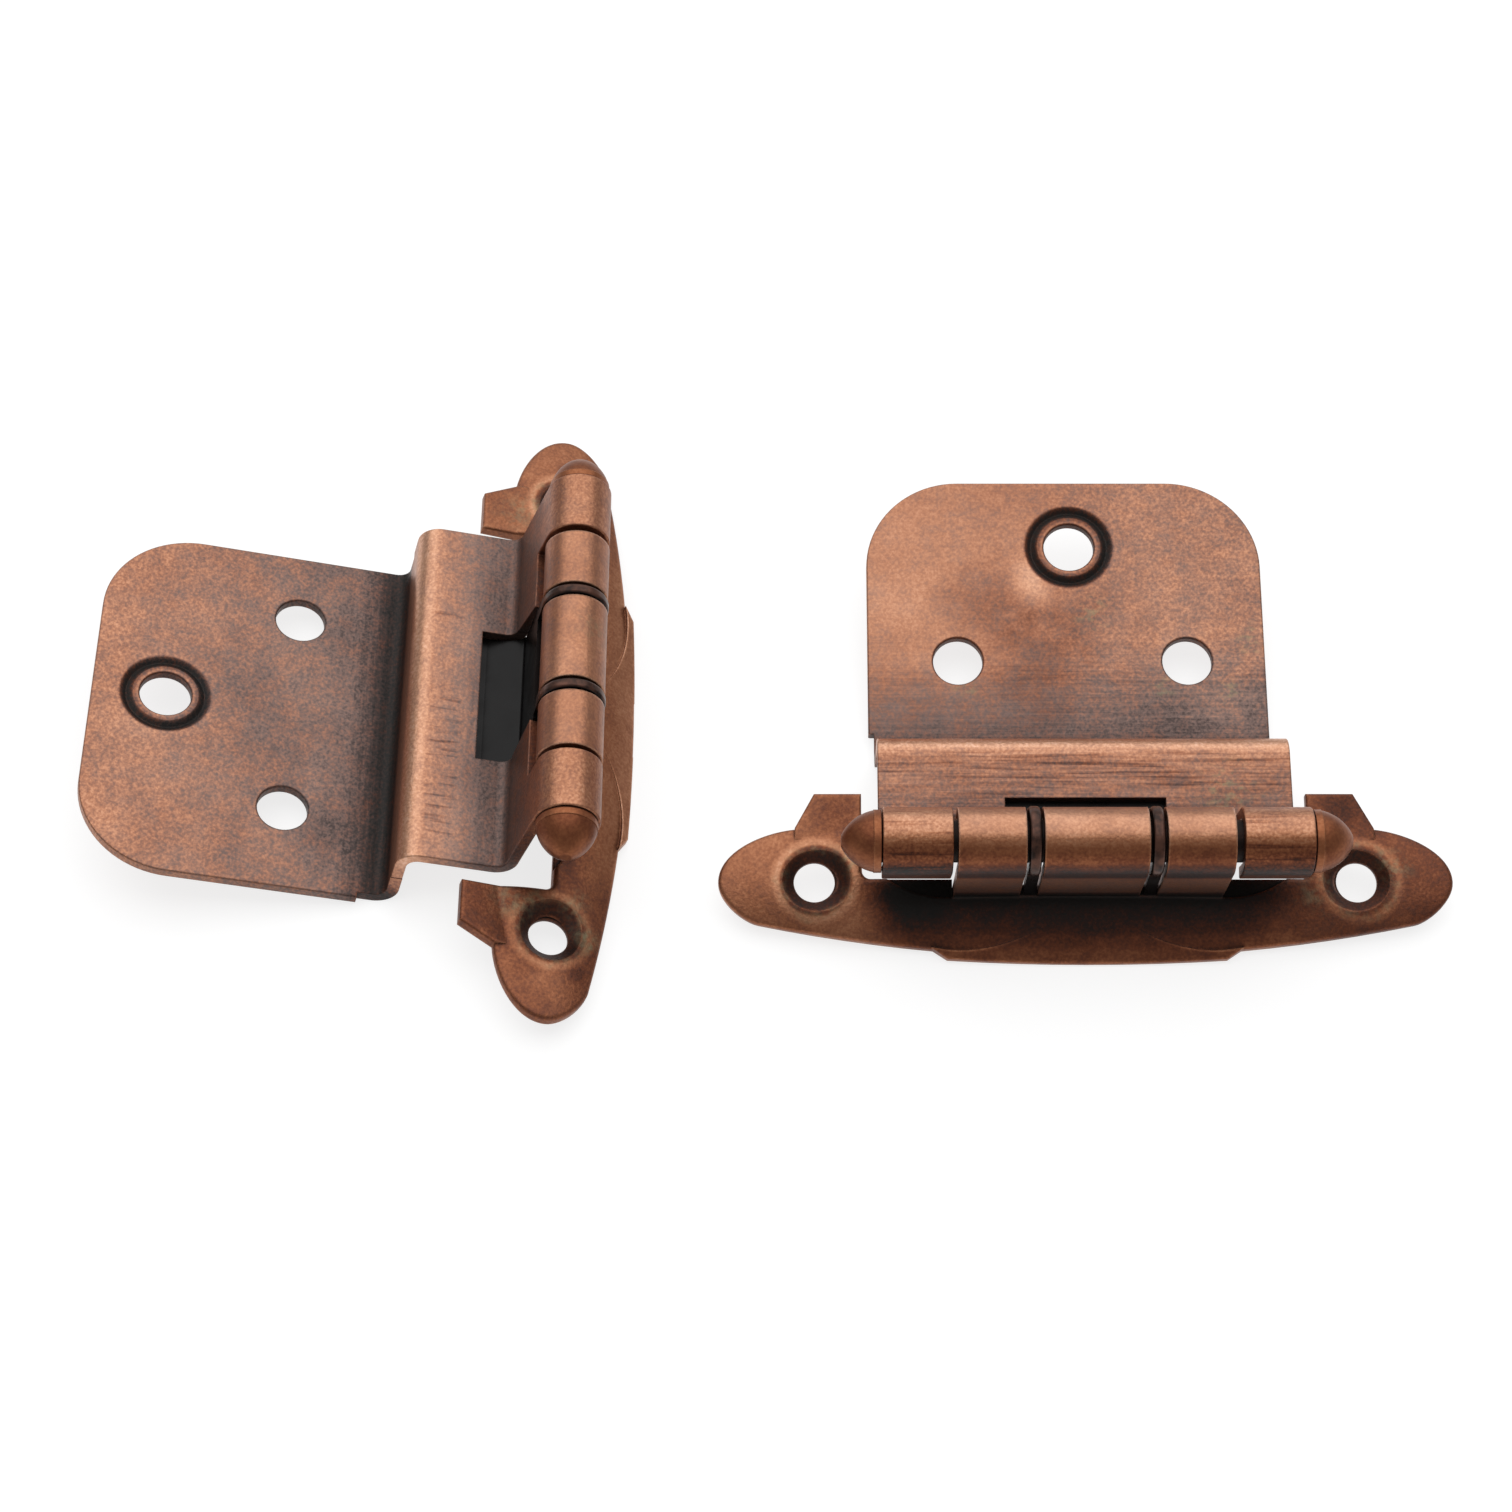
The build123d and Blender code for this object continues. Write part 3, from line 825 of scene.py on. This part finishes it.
FRAME_TARNISH = {
    Side.RIGHT: FrameTarnish(
        # The right face is darker than the left one: partly patina, partly painted shade where the face
        # turns away from the light
        run=(
            (-19.2, 0.50), (-17.6, 0.56), (-16.0, 0.68), (-14.4, 0.82), (-12.8, 0.90), (-11.2, 0.97),
            (-10.2, 0.86), (-9.2, 0.54), (-7.0, 0.46), (-5.0, 0.48), (-3.0, 0.55),
        ),
        film=((-19.2, 0.0), (-11.0, 0.3), (-9.4, 0.5), (-7.0, 0.6), (-4.0, 0.2)),
        ears=((-34.0, 0.44), (-24.0, 0.46), (0.0, 0.5), (24.0, 0.62), (34.0, 0.64)),
        stains=(
            Stain((-22.0, -5.5), 3.5, -0.05), Stain((17.0, -5.0), 5.0, -0.10),
            Stain((-17.0, -3.0), 4.5, 0.26), Stain((24.0, 5.5), 3.0, 0.10), Stain((-23.0, 5.0), 4.0, 0.10),
        ),
        green=(
            Stain((21.0, -2.6), 2.6, 0.7), Stain((28.4, 0.2), 2.2, 0.7), Stain((-21.6, 0.6), 1.6, 0.6),
        ),
    ),
    Side.LEFT: FrameTarnish(
        run=(
            (-19.2, 0.34), (-17.0, 0.36), (-14.0, 0.42), (-12.0, 0.56), (-10.8, 0.76), (-9.6, 0.56),
            (-7.0, 0.45), (-3.0, 0.4),
        ),
        film=((-19.2, 0.0), (-12.0, 0.1), (-3.0, 0.2)),
        ears=((-34.0, 0.55), (-24.0, 0.57), (0.0, 0.5), (24.0, 0.48), (34.0, 0.46)),
        stains=(
            Stain((-30.5, -1.5), 3.0, -0.10), Stain((-26.0, 3.0), 2.5, 0.08),
            Stain((-29.0, -4.0), 1.6, 0.10),
        ),
        green=(
            Stain((-22.4, 2.4), 3.4, 0.9), Stain((-25.1, -4.8), 2.0, 0.9), Stain((-22.0, -3.6), 2.0, 0.9),
            Stain((23.5, 3.5), 3.5, 0.7), Stain((1.0, -1.2), 3.4, 0.5),
        ),
    ),
}


@dataclass
class FrameLeaf:
    """The crowned sheet with the ears and the tongue."""

    place: HingePlace
    # The frame leaf's strong edge brightening is partly a painted highlight along the crests of its petals
    coat: Coat = Coat(clouds=0.06, haze=0.05, specks=0.06, edge_wear_and_highlight=0.24, edge_mm=0.35)
    over_close: float = math.radians(4.0)
    screw_x: float = 25.1
    screw_y: float = -1.25
    sink_radius: float = 3.3
    # Painted highlight on the sheet round each countersink
    sink_highlight: float = 0.16
    ear_starts: Stops = ((0.0, 0.0), (15.0, 0.0), (22.0, 1.0), (34.0, 1.0))
    ear_film: float = 0.15
    ear_rubbed: float = 0.7
    barrel_ends: Stops = ((3.2, 1.0), (3.6, 0.0))
    rubbed: Stops = ((-19.2, 0.8), (-12.0, 0.8), (-9.4, 0.2), (-3.0, 0.2))
    seed: float = 29.0

    def dress(self) -> None:
        """Plates the sheet: near black at the foot of the tongue, brown on the face and the ears."""
        side = self.place.side
        tarnish = FRAME_TARNISH[side]
        painter = PlatingPainter(
            f"{side.value}_frame_leaf_plating",
            self.place,
            self.coat,
            extra_tilt=self.over_close,
            seed=self.seed,
        )
        painter.start()
        ear = painter.along(Way.ALONG_PIN, self.ear_starts, both_ends=True)
        barrel = painter.from_pin(self.barrel_ends)
        tone = painter.along(Way.UP_THE_TONGUE, tarnish.run)
        tone = painter.covered(tone, (ear, painter.along(Way.ALONG_PIN, tarnish.ears)))
        tone = painter.stained(tone, tarnish.stains)
        crusts = painter.gathered(tarnish.green, 0.5)
        for end in (-1, 1):
            tone, crust = self.sink(painter, end, tone)
            crusts = painter.marked(crusts, (crust, 1.0))
        # The barrel gets painted shade on its lower face side and a painted highlight over its top
        tone = painter.covered(tone, (barrel, painter.along(Way.ACROSS_THE_PIN, BARREL_SHADING[side])))
        film = painter.covered(painter.along(Way.UP_THE_TONGUE, tarnish.film), (ear, self.ear_film))
        rubbed = painter.covered(
            painter.along(Way.UP_THE_TONGUE, self.rubbed),
            (ear, self.ear_rubbed),
            (barrel, painter.along(Way.ACROSS_THE_PIN, RUBBED[side])),
        )
        specks = painter.cloud(0.8, 3.0, edges=(0.42, 0.66), ends=(0.0, 0.6))
        material = painter.finish_off(tone, film, rubbed, green=painter.marked(0.0, (specks, crusts)))
        paint(f"{side.value}_frame_leaf", material)

    def sink(self, painter: PlatingPainter, end: int, tone: Socket) -> tuple[Socket, Socket]:
        """Darkens the bowl of a countersink, paints a highlight on the sheet round it and puts a crust on
        its rim.

        Args:
            painter: Painter of the sheet.
            end: The end of the sheet, -1 or 1.
            tone: Darkness of the sheet.

        Returns:
            The new darkness, and where the crust is.
        """
        middle = (end * self.screw_x, self.screw_y)
        edge = self.sink_radius
        bowl = painter.round_about(middle, ((0.0, 0.7), (edge - 0.6, 0.8), (edge, 0.62)))
        inside = painter.round_about(middle, ((edge - 0.1, 1.0), (edge + 0.25, 0.0)))
        # Ring round the countersink that takes the painted highlight
        rim = painter.round_about(middle, ((edge, 1.0), (edge + 0.4, 1.0), (edge + 1.2, 0.0)))
        crust = painter.round_about(
            middle, ((edge - 0.7, 0.0), (edge - 0.1, 0.5), (edge + 0.2, 0.5), (edge + 0.7, 0.0)), ragged=0.5
        )
        return painter.covered(painter.marked(tone, (rim, -self.sink_highlight)), (inside, bowl)), crust


@dataclass
class PinAndTips:
    """The pin with its own cone tip, and the tip pressed on its other end."""

    place: HingePlace
    coat: Coat = Coat(clouds=0.05, haze=0.04, specks=0.04, edge_wear_and_highlight=0.12, relief=0.6)
    run: Stops = ((18.0, 0.95), (19.38, 0.92), (19.5, 0.46), (20.0, 0.44), (20.3, 0.52), (23.5, 0.5))
    film: float = 0.05
    seed: float = 43.0

    def dress(self) -> None:
        """Plates the turned tips a plain dark copper brown, black where they meet the barrel."""
        side = self.place.side
        painter = PlatingPainter(f"{side.value}_tip_plating", self.place, self.coat, seed=self.seed)
        painter.start()
        tone = painter.along(Way.ALONG_PIN, self.run, both_ends=True)
        material = painter.finish_off(tone, self.film, rubbed=1.0)
        for name in ("hinge_pin", "pin_tip"):
            paint(f"{side.value}_{name}", material)


@dataclass
class ClosingSpring:
    """The black spring whose loops show between the middle knuckles."""

    place: HingePlace
    finish: SpringSteel = field(default_factory=SpringSteel)
    # Band at the loops' outer faces that takes the painted reflection
    loop_sheen_band: Stops = ((2.8, 0.0), (2.98, 0.0), (3.1, 1.0), (3.25, 1.0), (3.35, 0.0), (9.0, 0.0))
    seed: float = 5.0

    def dress(self) -> None:
        """Gives the spring its black oxide, with a painted coppery reflection in brown patches on the outer
        faces of the loops.
        """
        side = self.place.side
        painter = PlatingPainter(f"{side.value}_spring_oxide", self.place, seed=self.seed)
        painter.start()
        marks = painter.cloud(2.5, 2.0, ends=(-0.05, 0.08))
        patches = painter.cloud(1.2, 3.0, edges=(0.35, 0.6), ends=(0.2, 1.0))
        # Where the painted coppery reflection lies: the outer faces of the loops, in patches
        bare = painter.marked(0.0, (painter.from_pin(self.loop_sheen_band), patches))
        oxide, brown = linear(self.finish.colour), linear(self.finish.rubbed)
        shader = add_node(
            painter.tree,
            "BsdfPrincipled",
            {
                "Base Color": painter.tinted(oxide, (bare, brown)),
                "Metallic": self.finish.metallic,
                "Roughness": painter.marked(self.finish.roughness, (marks, 1.0)),
            },
        )
        add_node(painter.tree, "OutputMaterial", {"Surface": shader.outputs["BSDF"]})
        paint(f"{side.value}_closing_spring", painter.material)


def paint(node: str, material: bpy.types.Material) -> None:
    """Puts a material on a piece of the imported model.

    Args:
        node: Name of the piece.
        material: Its finish.
    """
    mesh = frame["nodes"][node].data
    mesh.materials.clear()
    mesh.materials.append(material)
    log.info("%s has %s", node, material.name)


@dataclass
class Studio:
    """Camera, lamps and paper. The camera stands where the photograph was taken from."""

    target: Vector
    paper: Backdrop = field(default_factory=Backdrop)
    focal_px: float = 3434.67
    frame_px: float = 1512.0
    sensor_mm: float = 36.0
    elevation: float = math.radians(54.6)
    offset_mm: tuple[float, float, float] = (-30.64, -172.66, 256.18)
    panel_size: float = 1.8
    panel_distance: float = 1.0
    panel_lean: float = math.radians(26.0)
    panel_radiance: float = 1.25
    sky: float = 0.35
    paper_half: float = 6.0
    clip_start: float = 0.01

    def add_camera(self) -> None:
        """Places the camera, by the distance from the right hinge's pin and the downward angle."""
        data = bpy.data.cameras.new("camera")
        data.sensor_width = self.sensor_mm
        data.sensor_fit = "HORIZONTAL"
        data.lens = self.sensor_mm * self.focal_px / self.frame_px
        data.clip_start = self.clip_start
        camera = bpy.data.objects.new("camera", data)
        camera.location = self.target + Vector(self.offset_mm) * MM
        camera.rotation_euler = (math.pi / 2 - self.elevation, 0.0, 0.0)
        bpy.context.scene.collection.objects.link(camera)
        bpy.context.scene.camera = camera

    def add_paper(self) -> None:
        """Lays the white paper, which keeps the hinges' shadow and shows white behind them."""
        half = self.paper_half
        mesh = bpy.data.meshes.new("paper")
        corners = [(-half, -half, 0), (half, -half, 0), (half, half, 0), (-half, half, 0)]
        mesh.from_pydata(corners, [], [(0, 1, 2, 3)])
        sheet = bpy.data.objects.new("paper", mesh)
        bpy.context.scene.collection.objects.link(sheet)
        material = bpy.data.materials.new("white_paper")
        material.use_nodes = True
        tree = material.node_tree
        tree.nodes.clear()
        shade = add_node(tree, "BsdfDiffuse", {"Color": linear(self.paper.colour)})
        path = add_node(tree, "LightPath").outputs
        seen = path["Is Camera Ray"]
        for ray in ("Is Glossy Ray", "Is Transmission Ray"):
            seen = add_node(tree, "Math", {0: seen, 1: path[ray]}, operation="MAXIMUM").outputs[0]
        lift = add_node(tree, "Math", {0: seen, 1: self.paper.lift}, operation="MULTIPLY")
        glow = add_node(tree, "Emission", {"Strength": lift.outputs[0]})
        both = add_node(tree, "AddShader", {0: shade.outputs[0], 1: glow.outputs[0]})
        add_node(tree, "OutputMaterial", {"Surface": both.outputs[0]})
        mesh.materials.append(material)

    def add_lamps(self) -> None:
        """Hangs one wide soft panel over the back of the table, and fills the rest with a dim even sky."""
        data = bpy.data.lights.new("panel", "AREA")
        data.shape = "SQUARE"
        data.size = self.panel_size
        data.energy = self.panel_radiance * math.pi * self.panel_size ** 2
        lamp = bpy.data.objects.new("panel", data)
        towards = Vector((0.0, math.sin(self.panel_lean), math.cos(self.panel_lean)))
        lamp.location = towards * self.panel_distance
        lamp.rotation_euler = (-self.panel_lean, 0.0, 0.0)
        bpy.context.scene.collection.objects.link(lamp)
        world = bpy.data.worlds.new("studio")
        world.use_nodes = True
        back = world.node_tree.nodes["Background"]
        back.inputs["Color"].default_value = linear("#ffffff")
        back.inputs["Strength"].default_value = self.sky
        bpy.context.scene.world = world
        bpy.context.scene.view_settings.view_transform = "Standard"


def main() -> None:
    """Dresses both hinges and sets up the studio."""
    logging.basicConfig(level=logging.INFO)
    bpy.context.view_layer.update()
    places = [HingePlace.of_side(side) for side in Side]
    studio = Studio(places[0].pin_middle)
    studio.add_camera()
    for place in places:
        for piece in (DoorLeaf(place), FrameLeaf(place), PinAndTips(place), ClosingSpring(place)):
            piece.dress()
    studio.add_paper()
    studio.add_lamps()


if __name__ == "__main__":
    main()
